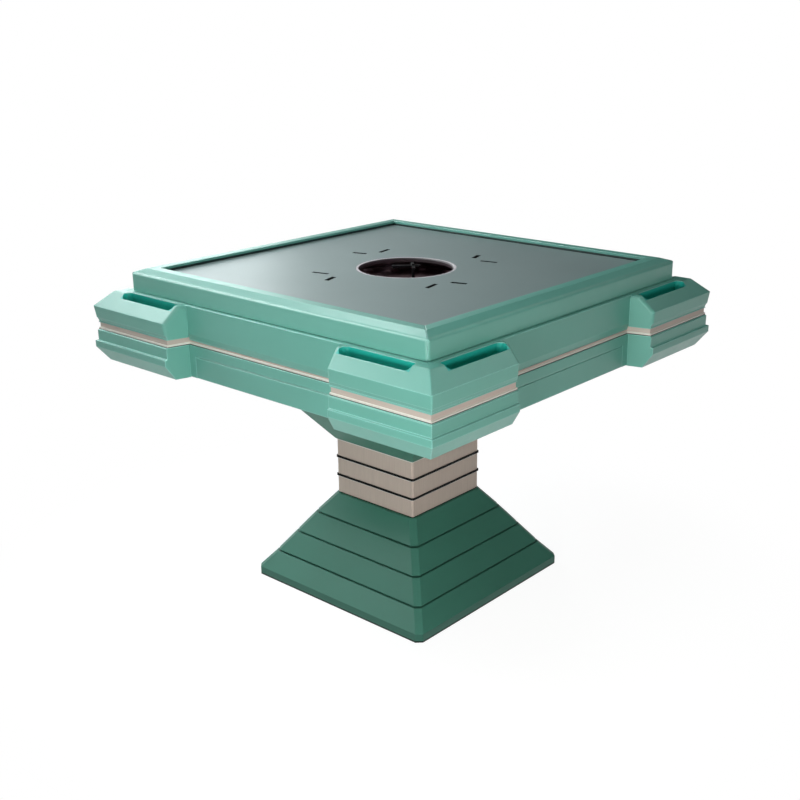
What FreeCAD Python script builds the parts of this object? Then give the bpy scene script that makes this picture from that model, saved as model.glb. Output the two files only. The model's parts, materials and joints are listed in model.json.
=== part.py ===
"""Automatic mahjong table on a stepped pedestal, with a shallow drawer under each side.

Millimetres, +Z up. The origin is on the floor under the middle of the table.
The sides are called right (+X), back (+Y), left (-X) and front (-Y).
Side pieces are drawn for the right side and corner pieces for the back right
corner, and each copy is turned about Z to its place.
"""
import FreeCAD, Part
import Sketcher
import math
import os
import re

from FreeCAD import Placement, Rotation, Vector

doc = FreeCAD.newDocument("MahjongTable")

# ---------------------------------------------------------------- driving sizes

SIZES = {
    # pedestal foot
    "floor_gap": (1.5, "gap under the foot's shell"),
    "foot_half": (271.0, "half width of the foot"),
    "foot_band": (22.0, "height of the foot's upright edge"),
    "first_tier_run": (34.8, "how far the lowest tier slopes in"),
    "first_tier_rise": (41.0, "height of the lowest tier's slope"),
    "tier_rise": (50.9, "height of each upper tier"),
    "tier_ledge": (2.5, "how far a tier stands out under the next one"),
    "groove_depth": (3.5, "depth of the groove between two tiers"),
    "groove_height": (4.0, "height of the groove between two tiers"),
    "hip_cut": (9.0, "how far the foot's four corners are cut off"),
    "shell_wall": (4.0, "wall of the moulded shells"),
    "plate_thick": (6.0, "thickness of the steel foot plate"),
    "glide_height": (8.0, "floor to the underside of the foot plate"),
    "glide_radius": (20.0, "radius of a levelling foot"),
    "glide_stem": (5.0, "radius of a levelling foot's stem"),
    "glide_inset": (46.0, "distance of the levelling feet from the foot's edge"),
    # column
    "column_half": (123.5, "half width of the column"),
    "sleeve_wall": (5.0, "wall of a column sleeve"),
    "sleeve_height": (43.2, "height of a column sleeve"),
    "sleeve_corner": (2.5, "how far the corners of sleeves and strips are cut off"),
    "joint_height": (2.5, "height of the dark joint under the lowest sleeve"),
    "joint_back": (1.0, "how far that joint is set back"),
    "strip_height": (5.0, "height of a dark strip between sleeves"),
    "strip_proud": (2.2, "how far the dark strips stand out"),
    "base_proud": (6.0, "how far the foot's top stands out from the column"),
    "pan_proud": (1.2, "how far the pan's lower end stands out from the column"),
    "tube_half": (50.0, "half width of the pedestal tube"),
    "tube_wall": (4.0, "wall of the pedestal tube"),
    "flange_thick": (8.0, "thickness of the pedestal tube's flanges"),
    "foot_flange": (40.0, "how far the lower flange stands out from the tube"),
    "head_flange": (55.0, "how far the upper flange stands out from the tube"),
    "bolt_radius": (6.0, "radius of a pedestal bolt"),
    "bolt_head": (9.0, "radius of a pedestal bolt's head"),
    "bolt_head_height": (8.0, "height of a pedestal bolt's head"),
    "bolt_edge": (20.0, "distance from a bolt to its flange's edge"),
    # body of the table
    "box_half": (460.0, "half width of the body's sides"),
    "pan_height": (216.2, "height of the pan from the column to the body"),
    "side_wall": (24.0, "thickness of the lower body frame"),
    "drawer_height": (51.0, "height of the drawers' room up to the seam"),
    "seam_drop": (23.0, "distance of the seam under the pale strip"),
    "trim_height": (17.0, "height of the pale strip"),
    "trim_thick": (4.0, "thickness of the pale strip"),
    "trim_foot": (2.5, "how far the pale strip's foot stands out"),
    "trim_foot_height": (5.0, "height of the pale strip's foot"),
    "trim_recess": (5.0, "how far the pale strip is set back"),
    "trim_inset": (4.0, "set-back of the strip at a corner block's end"),
    "trim_block_back": (10.5, "set-back of the strip from a corner block's ledge"),
    "apron_height": (73.0, "height of the aprons and corner blocks over the strip"),
    "apron_thick": (20.0, "thickness of an apron"),
    "apron_bevel": (1.0, "bevel of an apron's upper edge"),
    "apron_bend_rise": (8.0, "height of the apron's bend over the strip"),
    "apron_lip_drop": (8.0, "how far the apron's lip reaches down over the strip"),
    "tray_thick": (3.0, "thickness of the bottom tray"),
    "pan_inset": (172.0, "distance of the pan's upper edge from the body's sides"),
    "pan_flange": (12.0, "width of the pan's flange"),
    "pan_flange_thick": (3.0, "thickness of the pan's flange"),
    "chassis_rise": (56.0, "height of the chassis plate over the body's lower edge"),
    "chassis_thick": (4.0, "thickness of the chassis plate"),
    "post_half": (15.0, "half width of a frame post"),
    "post_inset": (75.0, "distance of the frame posts from the body's sides"),
    "ring_height": (20.0, "height of the frame ring"),
    "mitre_gap": (0.15, "half of the gap in a mitred joint"),
    "seat_gap": (0.2, "gap between pieces that are screwed together"),
    # corner blocks
    "flank_root": (238.0, "where a corner block leaves the side"),
    "flank_lean": (15.0, "how far a corner block's end leans over its depth"),
    "block_proud": (57.5, "how far the corner blocks stand out from the sides"),
    "cap_slope_run": (36.0, "how far the corner block's top slopes out"),
    "cap_bend_radius": (9.0, "rounding of that bend"),
    "cap_edge_back": (1.5, "set-back of the upper block's widest edge from the ledge"),
    "cap_slope_drop": (34.0, "height of the slope on the corner block's top"),
    "cap_foot_back": (5.0, "how far the upper block draws in under its widest edge"),
    "neck_back": (3.0, "how far the upper block's neck draws in further"),
    "neck_height": (11.0, "height of the neck over the pale strip"),
    "neck_lip": (3.0, "height of the lip under the neck"),
    "cap_end_radius": (9.0, "rounding of the upper block's ends"),
    "cap_mitre_radius": (3.0, "rounding of the upper block's mitre edge"),
    "band_back": (5.5, "set-back of the lower block's band from its ledge"),
    "ledge_slope": (1.5, "height of the slope from the ledge up to the band"),
    "ledge_height": (15.0, "height of the lower block's ledge"),
    "ledge_rise": (33.0, "height of the lower block's sloping foot"),
    "block_foot_back": (22.0, "how far the lower block slopes in to its underside"),
    "block_drop": (1.0, "how far the corner blocks reach under the sides"),
    "block_bevel": (2.2, "bevel of the lower block's upper edge"),
    "block_wall": (4.0, "wall of the corner blocks"),
    "core_back": (20.5, "distance of a corner block's hollow from its ledge"),
    "pocket_width": (26.0, "width of a pocket"),
    "pocket_back": (27.0, "distance of a pocket from the corner block's ledge"),
    "pocket_inset": (17.0, "distance of a pocket from the block's end"),
    "pocket_corner_gap": (20.0, "distance of a pocket from the sides' corner"),
    "pocket_depth": (44.0, "depth of a pocket"),
    # table top
    "rim_back": (10.0, "set-back of the rim from the sides"),
    "rim_shadow": (1.0, "height of the shadow gap under the rim"),
    "rim_height": (41.6, "height of the rim's outer face"),
    "rim_slope": (9.0, "rise of the rim's top from its outer edge to its crest"),
    "rim_width": (48.0, "width of the rim"),
    "rim_crest_width": (22.0, "width of the level crest"),
    "rim_corner_radius": (8.0, "rounding of the rim's corners"),
    "rim_edge_radius": (9.0, "rounding of the rim's top edge"),
    "rim_seat": (6.5, "width of the rim's seat on the board"),
    "board_drop": (12.6, "depth of the board's top under the rim's crest"),
    "board_thick": (8.0, "thickness of the board"),
    "mat_thick": (2.0, "thickness of the playing mat"),
    "mat_gap": (2.5, "dark gap between the mat and the rim"),
    "well_radius": (112.6, "radius of the round opening at the mat"),
    "collar_slope": (3.0, "how far the collar's slope draws in"),
    "collar_lip": (5.0, "width of the collar's lip on the board"),
    "collar_wall": (3.0, "wall of the collar"),
    "collar_drop": (3.0, "depth of the collar's slope"),
    "throat_height": (6.8, "height of the collar's throat"),
    "collar_fit": (0.5, "gap round the collar in the board and the mat"),
    "slot_width": (10.0, "width of the longer slots in the playing surface"),
    "slot_broad": (12.0, "width of the shorter slots"),
    "slot_long": (44.0, "length of the longer slots"),
    "slot_short": (38.0, "length of the shorter slots"),
    # shuffling drum
    "drum_radius": (232.0, "radius of the drum"),
    "drum_wall": (3.0, "wall of the drum"),
    "drum_depth": (66.0, "depth of the drum under the board"),
    "drum_pillar": (8.0, "radius of a pillar under the drum"),
    "drum_top_gap": (0.3, "gap between the drum and the board"),
    "spindle_radius": (40.0, "radius of the fixed spindle"),
    "spindle_wall": (4.0, "wall of the fixed spindle"),
    "spindle_rise": (6.0, "height of the spindle's cap over the turntable's underside"),
    "spindle_cap": (6.0, "thickness of the spindle's cap"),
    "spindle_flange": (72.0, "radius of the spindle's flange"),
    "spindle_flange_thick": (5.0, "thickness of the spindle's flange"),
    "running_gap": (0.08, "radial clearance of shafts and bores"),
    "hub_wall": (7.0, "wall of the turntable's hub"),
    "hub_gap": (3.0, "gap between the hub and the drum's floor"),
    "turntable_rise": (22.0, "height of the turntable's underside over the drum's"),
    "turntable_thick": (3.0, "thickness of the turntable"),
    "turntable_gap": (5.0, "gap between the turntable and the drum"),
    "turntable_rib": (6.0, "height of the turntable's mound and edge"),
    "edge_slope": (6.0, "width of the slope inside the turntable's raised edge"),
    "mound_crest": (64.0, "radius of the turntable's mound at its top"),
    "mound_foot": (86.0, "radius of the turntable's mound at its foot"),
    "knob_place": (199.0, "distance of the turntable's knobs from the middle"),
    "knob_radius": (12.0, "radius of a knob"),
    "knob_height": (8.0, "height of a knob"),
    "pulley_rise": (14.0, "height of the pulleys over the chassis plate"),
    "pulley_height": (12.0, "height of the pulleys"),
    "big_pulley": (80.0, "belt radius of the turntable's pulley"),
    "small_pulley": (16.0, "belt radius of the motor's pulley"),
    "pulley_flange": (3.0, "how far a pulley's flanges stand out"),
    "pulley_flange_thick": (1.5, "thickness of a pulley's flange"),
    "belt_thick": (2.0, "thickness of the belt"),
    "belt_gap": (0.3, "gap between the belt and a pulley"),
    "motor_place": (160.0, "distance of the motor from the middle"),
    "motor_radius": (35.0, "radius of the motor"),
    "motor_length": (86.0, "length of the motor"),
    "motor_flange": (45.0, "half width of the motor's flange"),
    "motor_flange_thick": (4.0, "thickness of the motor's flange"),
    "shaft_radius": (5.0, "radius of the motor's shaft"),
    "shaft_depth": (24.0, "length of the shaft inside the motor"),
    # console lift
    "lift_radius": (3.5, "radius of the lift post"),
    "lift_offset": (16.0, "distance of the lift post from the middle"),
    "lift_drop": (70.0, "how far the lift post reaches down under the chassis plate"),
    "lift_proud": (8.0, "height of the lift post's tip over the mat"),
    "carrier_gap": (0.5, "height of the carrier's arms over the mat"),
    "carrier_thick": (4.5, "thickness of the carrier's arms"),
    "carrier_width": (7.0, "width of the carrier's arms"),
    "carrier_reach": (33.0, "reach of the carrier's arms from the middle"),
    # drawers
    "drawer_inset": (20.7, "distance of a drawer front from the corner blocks"),
    "drawer_gap": (0.7, "gap round a drawer front"),
    "front_thick": (14.0, "thickness of a drawer front"),
    "front_bevel": (2.8, "bevel of a drawer front's upper edge"),
    "tray_inset": (20.3, "how far a drawer's tray is set in from its front's end"),
    "tray_depth": (148.0, "depth of a drawer's tray"),
    "tray_wall": (3.0, "wall of a drawer's tray"),
    "tray_lift": (3.0, "gap between a drawer's tray and the bottom tray"),
    "tray_height": (40.0, "height of a drawer's tray"),
    "rib_width": (6.5, "width of the rib that rides in the runner"),
    "rib_height": (4.0, "height of that rib"),
    "rib_rise": (20.0, "height of the rib over the tray's underside"),
    "runner_gap": (0.3, "clearance of the rib in its runner"),
    "runner_sheet": (2.5, "sheet thickness of a runner"),
    # mains inlet
    "inlet_inset": (88.0, "distance of the mains inlet from the body's side"),
    "inlet_offset": (85.0, "distance of the mains inlet from the frame posts"),
    "inlet_half_long": (31.0, "half length of the inlet's bezel"),
    "inlet_half_wide": (17.0, "half width of the inlet's bezel"),
    "inlet_bezel": (2.0, "thickness of the inlet's bezel"),
    "inlet_margin": (4.0, "how far the bezel covers the cut-out"),
    "inlet_depth": (24.0, "depth of the inlet behind its bezel"),
    "socket_half_long": (12.5, "half length of the socket"),
    "socket_half_wide": (9.5, "half width of the socket"),
    "socket_depth": (17.0, "depth of the socket"),
    "socket_place": (12.0, "distance of the socket from the inlet's middle"),
    "pin_radius": (2.0, "radius of a socket pin"),
    "pin_length": (11.0, "length of a socket pin"),
    "pin_spread": (7.0, "distance between socket pins"),
    "rocker_half_long": (6.5, "half length of the rocker"),
    "rocker_half_wide": (9.5, "half width of the rocker"),
    "rocker_place": (15.5, "distance of the rocker from the inlet's middle"),
    "rocker_gap": (0.5, "gap round the rocker"),
    "rocker_proud": (2.0, "how far the rocker stands out"),
    "rocker_depth": (7.0, "depth of the rocker behind the bezel"),
}

# Places that follow from the driving sizes.
DERIVED = {
    "first_tier_half": "foot_half - first_tier_run",
    "glide_place": "foot_half - glide_inset",
    "plate_top": "glide_height + plate_thick",
    "base_top": "foot_band + first_tier_rise + 3 * tier_rise",
    "base_top_half": "column_half + base_proud",
    "tier_run": "(first_tier_half - base_top_half) / 3",
    "sleeve_start": "base_top + joint_height",
    "strip_one": "sleeve_start + sleeve_height",
    "strip_two": "strip_one + strip_height + sleeve_height",
    "column_top": "strip_two + strip_height + sleeve_height",
    "side_bottom": "column_top + pan_height",
    "seam_height": "side_bottom + drawer_height",
    "trim_bottom": "seam_height + seam_drop",
    "pan_bottom_half": "column_half + pan_proud",
    "pan_top_half": "box_half - pan_inset",
    "foot_flange_half": "tube_half + foot_flange",
    "head_flange_half": "tube_half + head_flange",
    "foot_bolts": "foot_flange_half - bolt_edge",
    "head_bolts": "head_flange_half - bolt_edge",
    "chassis_height": "side_bottom + chassis_rise",
    "chassis_top": "chassis_height + chassis_thick",
    "trim_top": "trim_bottom + trim_height",
    "apron_lip": "trim_top - apron_lip_drop",
    "apron_bend": "trim_top + apron_bend_rise",
    "apron_top": "trim_top + apron_height",
    "trim_face": "box_half - trim_recess",
    "leg_top": "trim_top + seat_gap",
    "frame_inner": "box_half - side_wall",
    "post_place": "box_half - post_inset",
    "block_half": "box_half + block_proud",
    "band_half": "block_half - band_back",
    "block_foot_half": "block_half - block_foot_back",
    "block_core": "block_half - core_back",
    "cap_edge_half": "block_half - cap_edge_back",
    "cap_foot_half": "cap_edge_half - cap_foot_back",
    "cap_bend": "cap_edge_half - cap_slope_run",
    "cap_edge": "apron_top - cap_slope_drop",
    "trim_block_half": "block_half - trim_block_back",
    "block_bottom": "side_bottom - block_drop",
    "ledge_bottom": "block_bottom + ledge_rise",
    "ledge_top": "ledge_bottom + ledge_height",
    "band_bottom": "ledge_top + ledge_slope",
    "pocket_outer": "block_half - pocket_back",
    "pocket_inner": "pocket_outer - pocket_width",
    "pocket_start": "flank_root + pocket_inset",
    "pocket_end": "box_half - pocket_corner_gap",
    "pocket_floor": "apron_top - pocket_depth",
    "rim_half": "box_half - rim_back",
    "rim_inner": "rim_half - rim_width",
    "rim_bottom": "apron_top + rim_shadow",
    "rim_edge": "rim_bottom + rim_height",
    "rim_crest": "rim_edge + rim_slope",
    "board_top": "rim_crest - board_drop",
    "tray_top": "side_bottom + tray_thick",
    "drawer_half": "flank_root - drawer_inset",
    "tray_half": "drawer_half - tray_inset",
    "board_bottom": "board_top - board_thick",
    "board_half": "rim_inner + rim_seat - seat_gap",
    "mat_top": "board_top + mat_thick",
    "throat_radius": "well_radius - collar_slope",
    "collar_depth": "collar_drop + throat_height",
    "drum_floor": "board_bottom - drum_depth",
    "turntable_height": "drum_floor + turntable_rise",
    "spindle_top": "turntable_height + spindle_rise",
    "pulley_base": "chassis_top + pulley_rise",
    "flank_slope": "flank_lean / block_proud",
    "reach": "block_half + 40",
    "core": "flank_root / 2",
    "hub_bore": "spindle_radius + running_gap",
    "hub_radius": "hub_bore + hub_wall",
    "pulley_top": "pulley_base + pulley_height",
    "drawer_floor": "tray_top + tray_lift",
    "drawer_back": "box_half - front_thick - tray_depth",
    "rib_bottom": "drawer_floor + rib_rise",
    "rib_top": "rib_bottom + rib_height",
    "runner_web": "tray_half + rib_width + runner_gap",
    "lift_at": "lift_offset * sqrt(0.5)",
    "lift_bottom": "chassis_height - lift_drop",
    "lift_top": "mat_top + lift_proud",
    "carrier_height": "mat_top + carrier_gap",
    "inlet_place": "box_half - inlet_inset",
    "inlet_along": "post_place - inlet_offset",
}

sheet = doc.addObject("Spreadsheet::Sheet", "Sizes")
for row, (alias, (value, note)) in enumerate(SIZES.items(), start=1):
    sheet.set(f"A{row}", note)
    sheet.set(f"B{row}", str(value))
    sheet.setAlias(f"B{row}", alias)
doc.recompute()

WORD = re.compile(r"[a-z_]+")


def bound(text):
    """Write an expression in size names out as one that refers to the sheet."""
    def widen(match):
        name = match[0]
        if name in DERIVED:
            return "(" + bound(DERIVED[name]) + ")"
        return "Sizes." + name if name in SIZES else name
    return WORD.sub(widen, str(text))


def size(text):
    """The present value of an expression in size names."""
    return float(sheet.evalExpression(bound(text)))


def minus(text):
    return f"-({text})"


# ------------------------------------------------------------- sketch and solid

PLANE_TURN = {
    "XY_Plane": Rotation(),
    "XZ_Plane": Rotation(Vector(1, 0, 0), 90),
    "YZ_Plane": Rotation(Vector(1, 1, 1), 120),
}


def fix_point(sketch, item, end, place):
    """Hold one point of the sketch at a pair of expressions."""
    for kind, text in zip(("DistanceX", "DistanceY"), place):
        index = sketch.addConstraint(Sketcher.Constraint(kind, -1, 1, item, end, size(text)))
        sketch.setExpression(f"Constraints[{index}]", bound(text))


def draw_outline(sketch, points):
    """A closed outline of straight lines through pairs of expressions."""
    first = sketch.GeometryCount
    spots = [Vector(size(x), size(y), 0) for x, y in points]
    count = len(spots)
    for index, spot in enumerate(spots):
        sketch.addGeometry(Part.LineSegment(spot, spots[(index + 1) % count]), False)
    for index in range(count):
        following = first + (index + 1) % count
        sketch.addConstraint(Sketcher.Constraint("Coincident", first + index, 2, following, 1))
    for index, place in enumerate(points):
        fix_point(sketch, first + index, 1, place)


def draw_circle(sketch, place, radius):
    centre = Vector(size(place[0]), size(place[1]), 0)
    circle = sketch.addGeometry(Part.Circle(centre, Vector(0, 0, 1), size(radius)), False)
    fix_point(sketch, circle, 3, place)
    index = sketch.addConstraint(Sketcher.Constraint("Radius", circle, size(radius)))
    sketch.setExpression(f"Constraints[{index}]", bound(radius))


def fill_sketch(sketch, outlines, circles):
    for points in outlines:
        draw_outline(sketch, points)
    for place, radius in circles:
        draw_circle(sketch, place, radius)
    return sketch


def square(half, x="0", y="0"):
    """The outline of a square round a point."""
    return rectangle(f"{x} - ({half})", f"{x} + ({half})", f"{y} - ({half})", f"{y} + ({half})")


def rectangle(x_low, x_high, y_low, y_high):
    return [(x_low, y_low), (x_high, y_low), (x_high, y_high), (x_low, y_high)]


def four_corners(place):
    """The points at plus and minus the same distance along X and Y."""
    away = minus(place)
    return [(place, place), (away, place), (away, away), (place, away)]


def new_body(name):
    body = doc.addObject("PartDesign::Body", name)
    body.Label = name
    return body


def body_sketch(body, plane, outlines=(), circles=(), at="0"):
    sketch = body.newObject("Sketcher::SketchObject", body.Name + "_sketch")
    support = [item for item in body.Origin.OriginFeatures if item.Role == plane][0]
    sketch.AttachmentSupport = [(support, "")]
    sketch.MapMode = "FlatFace"
    sketch.setExpression("AttachmentOffset.Base.z", bound(at))
    return fill_sketch(sketch, outlines, circles)


def pad(body, sketch, length, middle=False):
    feature = body.newObject("PartDesign::Pad", body.Name + "_pad")
    feature.Profile = sketch
    feature.setExpression("Length", bound(length))
    feature.Midplane = middle
    sketch.Visibility = False
    return feature


def pocket(body, sketch, length, reverse=False, middle=False):
    """Cut a sketch out of the body and make sure that it cut something."""
    doc.recompute()
    before = body.Shape.Volume
    feature = body.newObject("PartDesign::Pocket", body.Name + "_pocket")
    feature.Profile = sketch
    feature.setExpression("Length", bound(length))
    feature.Reversed = reverse
    feature.Midplane = middle
    doc.recompute()
    if not body.Shape.Volume < before:
        raise ValueError(f"{feature.Name} cuts nothing")
    return feature


def revolve(body, points):
    """Turn an outline of (radius, height) pairs about the vertical axis."""
    sketch = body_sketch(body, "XZ_Plane", [points])
    feature = body.newObject("PartDesign::Revolution", body.Name + "_turn")
    feature.Profile = sketch
    feature.ReferenceAxis = (sketch, ["V_Axis"])
    feature.Angle = 360
    return feature


def around(body, originals, count):
    """Repeat features evenly about the vertical axis."""
    axis = [item for item in body.Origin.OriginFeatures if item.Role == "Z_Axis"][0]
    pattern = body.newObject("PartDesign::PolarPattern", body.Name + "_round")
    pattern.Originals = originals
    pattern.Axis = (axis, [""])
    pattern.Angle = 360
    pattern.Occurrences = count
    body.Tip = pattern
    return pattern


def prism(name, plane, points, length, at="0", middle=False):
    """A sketched outline pushed through along its plane's normal."""
    sketch = doc.addObject("Sketcher::SketchObject", name + "_sketch")
    turn = PLANE_TURN[plane]
    sketch.Placement = Placement(turn.multVec(Vector(0, 0, size(at))), turn)
    if plane == "XY_Plane":
        sketch.setExpression("Placement.Base.z", bound(at))
    fill_sketch(sketch, [points], [])
    solid = doc.addObject("Part::Extrusion", name)
    solid.Base = sketch
    solid.DirMode = "Normal"
    solid.Solid = True
    solid.Symmetric = middle
    solid.setExpression("LengthFwd", bound(length))
    return solid


def common(name, shapes):
    result = doc.addObject("Part::MultiCommon", name)
    result.Shapes = shapes
    return result


def fuse(name, shapes):
    result = doc.addObject("Part::MultiFuse", name)
    result.Shapes = shapes
    return result


def cut(name, base, tool):
    result = doc.addObject("Part::Cut", name)
    result.Base = base
    result.Tool = tool
    return result


def rounded(name, base, radius, wanted):
    """Round the edges whose middle the function wanted picks out."""
    doc.recompute()
    value = size(radius)
    picked = []
    for index, edge in enumerate(base.Shape.Edges, start=1):
        if wanted(edge, edge.BoundBox.Center):
            picked.append((index, value, value))
    if not picked:
        raise ValueError(f"{name} rounds nothing")
    result = doc.addObject("Part::Fillet", name)
    result.Base = base
    result.Edges = picked
    return result


def near(value, text):
    return abs(value - size(text)) < 0.01


def square_form(name, half_outline):
    """A form with a square plan whose four sides have the same outline.

    The outline of (half width, height) pairs is mirrored and pushed through
    along X and along Y, and the form is what both have in common.
    """
    mirrored = [(minus(half), height) for half, height in reversed(half_outline)]
    points = list(half_outline) + mirrored
    along_y = prism(name + "_along_y", "XZ_Plane", points, "4 * block_half", middle=True)
    along_x = prism(name + "_along_x", "YZ_Plane", points, "4 * block_half", middle=True)
    return common(name, [along_y, along_x])


def blunt_form(name, half_outline):
    """A square form with its four corners cut off flat, as the foot has them."""
    diagonal = [(f"sqrt(2) * ({half}) - hip_cut", height) for half, height in half_outline]
    turned = square_form(name + "_turned", diagonal)
    turned.Placement = Placement(Vector(0, 0, 0), Rotation(Vector(0, 0, 1), 45))
    return common(name, [square_form(name + "_square", half_outline), turned])


def blunt_square(half, corner_cut):
    """A square outline whose corners are cut off by so much, seen along the diagonal."""
    short = f"({half}) - sqrt(2) * {corner_cut}"
    corner = [(f"{half}", short), (short, f"{half}")]
    outline = list(corner)
    for turn in range(3):
        corner = [(minus(y), x) for x, y in corner]
        outline += corner
    return outline


SIDES = ["right", "back", "left", "front"]
CORNERS = ["back_right", "back_left", "front_left", "front_right"]
parts = []


def keep(piece, label, turn=0):
    """List a finished sub-part under its name, turned about Z to its place."""
    piece.Label = label
    piece.Placement = Placement(Vector(0, 0, 0), Rotation(Vector(0, 0, 1), turn))
    parts.append(piece)
    return piece


def each_side(build, name):
    for index, side in enumerate(SIDES):
        keep(build(f"{name}_{side}"), f"{name}_{side}", 90 * index)


def each_corner(build, name):
    for index, corner in enumerate(CORNERS):
        keep(build(f"{name}_{corner}"), f"{name}_{corner}", 90 * index)


# --------------------------------------------------------------------- pedestal

def tier_half(level):
    """Half width at the top of a tier, counted from the lowest, which is 0."""
    return f"first_tier_half - {level} * tier_run"


def tier_top(level):
    return f"foot_band + first_tier_rise + {level} * tier_rise"


def base_shell():
    outside = [("foot_half", "floor_gap"), ("foot_half", "foot_band")]
    for level in range(3):
        edge = tier_half(level)
        height = tier_top(level)
        outside.append((f"{edge} + tier_ledge", height))
        outside.append((f"{edge} - groove_depth", height))
        outside.append((f"{edge} - groove_depth", f"{height} + groove_height"))
        outside.append((edge, f"{height} + groove_height"))
    outside.append(("base_top_half", "base_top"))
    inner_half = "foot_half - shell_wall"
    ledge = "plate_top + seat_gap"
    inside = [
        (inner_half, "floor_gap - shell_wall"),
        (inner_half, ledge),
        (f"{inner_half} - shell_wall", ledge),
        (f"{inner_half} - shell_wall", "foot_band - shell_wall / 2"),
    ]
    for level in range(3):
        inside.append((f"{tier_half(level)} - groove_depth - shell_wall", tier_top(level)))
    inside.append(("column_half - shell_wall", "base_top + shell_wall / 2"))
    return cut("base_shell", blunt_form("base_form", outside), blunt_form("base_hollow", inside))


def base_plate():
    body = new_body("base_plate")
    half = "foot_half - shell_wall - seat_gap"
    outline = blunt_square(half, "hip_cut")
    pad(body, body_sketch(body, "XY_Plane", [outline], at="glide_height"), "plate_thick")
    holes = [(place, "glide_stem + seat_gap") for place in four_corners("glide_place")]
    holes += [(place, "bolt_radius + seat_gap") for place in four_corners("foot_bolts")]
    pocket(body, body_sketch(body, "XY_Plane", circles=holes, at="plate_top"), "plate_thick")
    return body


def levelling_feet():
    body = new_body("levelling_feet")
    pads = [(place, "glide_radius") for place in four_corners("glide_place")]
    stems = [(place, "glide_stem") for place in four_corners("glide_place")]
    pad(body, body_sketch(body, "XY_Plane", circles=pads), "glide_height - seat_gap")
    pad(body, body_sketch(body, "XY_Plane", circles=stems), "plate_top + glide_stem")
    return body


def pedestal_tube():
    body = new_body("pedestal_tube")
    foot = body_sketch(body, "XY_Plane", [square("foot_flange_half")], at="plate_top")
    pad(body, foot, "flange_thick")
    shaft = body_sketch(body, "XY_Plane", [square("tube_half")], at="plate_top")
    pad(body, shaft, "chassis_height - (plate_top)")
    head = body_sketch(body, "XY_Plane", [square("head_flange_half")], at="chassis_height - flange_thick")
    pad(body, head, "flange_thick")
    bore = body_sketch(body, "XY_Plane", [square("tube_half - tube_wall")], at="chassis_height")
    pocket(body, bore, "chassis_height - (plate_top)")
    foot_holes = [(place, "bolt_radius + seat_gap") for place in four_corners("foot_bolts")]
    drilled = body_sketch(body, "XY_Plane", circles=foot_holes, at="plate_top + flange_thick")
    pocket(body, drilled, "flange_thick")
    head_holes = [(place, "bolt_radius + seat_gap") for place in four_corners("head_bolts")]
    drilled = body_sketch(body, "XY_Plane", circles=head_holes, at="chassis_height")
    pocket(body, drilled, "flange_thick")
    return body


def pedestal_bolts():
    body = new_body("pedestal_bolts")
    for bolts, grip_bottom, head_bottom in (
        ("foot_bolts", "glide_height", "plate_top + flange_thick"),
        ("head_bolts", "chassis_height - flange_thick", "chassis_top"),
    ):
        shanks = [(place, "bolt_radius") for place in four_corners(bolts)]
        heads = [(place, "bolt_head") for place in four_corners(bolts)]
        shank_sketch = body_sketch(body, "XY_Plane", circles=shanks, at=grip_bottom)
        pad(body, shank_sketch, f"{head_bottom} + bolt_head_height - ({grip_bottom})")
        head_sketch = body_sketch(body, "XY_Plane", circles=heads, at=head_bottom)
        pad(body, head_sketch, "bolt_head_height")
    return body


def column_sleeve(name, bottom):
    body = new_body(name)
    rings = [blunt_square("column_half", "sleeve_corner"), square("column_half - sleeve_wall")]
    pad(body, body_sketch(body, "XY_Plane", rings, at=bottom), "sleeve_height")
    return body


def column_strips():
    body = new_body("column_strips")
    for bottom, half, height in (
        ("base_top", "column_half - joint_back", "joint_height"),
        ("strip_one", "column_half + strip_proud", "strip_height"),
        ("strip_two", "column_half + strip_proud", "strip_height"),
    ):
        rings = [blunt_square(half, "sleeve_corner"), square("column_half - 2 * sleeve_wall")]
        pad(body, body_sketch(body, "XY_Plane", rings, at=bottom), height)
    return body


def underside_pan():
    flange_half = "pan_top_half + pan_flange"
    flange_bottom = "side_bottom - pan_flange_thick"
    outside = [
        ("pan_bottom_half", "column_top"),
        ("pan_top_half", flange_bottom),
        (flange_half, flange_bottom),
        (flange_half, "side_bottom - seat_gap / 2"),
    ]
    inside = [
        ("pan_bottom_half - 1.3 * shell_wall", "column_top - shell_wall / 10"),
        ("pan_top_half - 1.3 * shell_wall", "side_bottom"),
    ]
    return cut("underside_pan", square_form("pan_form", outside), square_form("pan_hollow", inside))


keep(base_shell(), "base_shell")
keep(base_plate(), "base_plate")
keep(levelling_feet(), "levelling_feet")
keep(pedestal_tube(), "pedestal_tube")
keep(pedestal_bolts(), "pedestal_bolts")
keep(column_sleeve("column_sleeve_lower", "sleeve_start"), "column_sleeve_lower")
keep(column_sleeve("column_sleeve_middle", "strip_one + strip_height"), "column_sleeve_middle")
keep(column_sleeve("column_sleeve_upper", "strip_two + strip_height"), "column_sleeve_upper")
keep(column_strips(), "column_strips")
keep(underside_pan(), "underside_pan")


# ------------------------------------------------------------------ frame, body

INLET_X = "-(inlet_along)"
INLET_Y = "inlet_place"


def bottom_tray():
    body = new_body("bottom_tray")
    outlines = [square("frame_inner - seat_gap"), square("pan_top_half - 1.3 * shell_wall")]
    pad(body, body_sketch(body, "XY_Plane", outlines, at="side_bottom"), "tray_thick")
    opening = rectangle(
        f"{INLET_X} - (inlet_half_long - inlet_margin)",
        f"{INLET_X} + (inlet_half_long - inlet_margin)",
        f"{INLET_Y} - (inlet_half_wide - inlet_margin)",
        f"{INLET_Y} + (inlet_half_wide - inlet_margin)",
    )
    pocket(body, body_sketch(body, "XY_Plane", [opening], at="tray_top"), "tray_thick")
    return body


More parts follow.
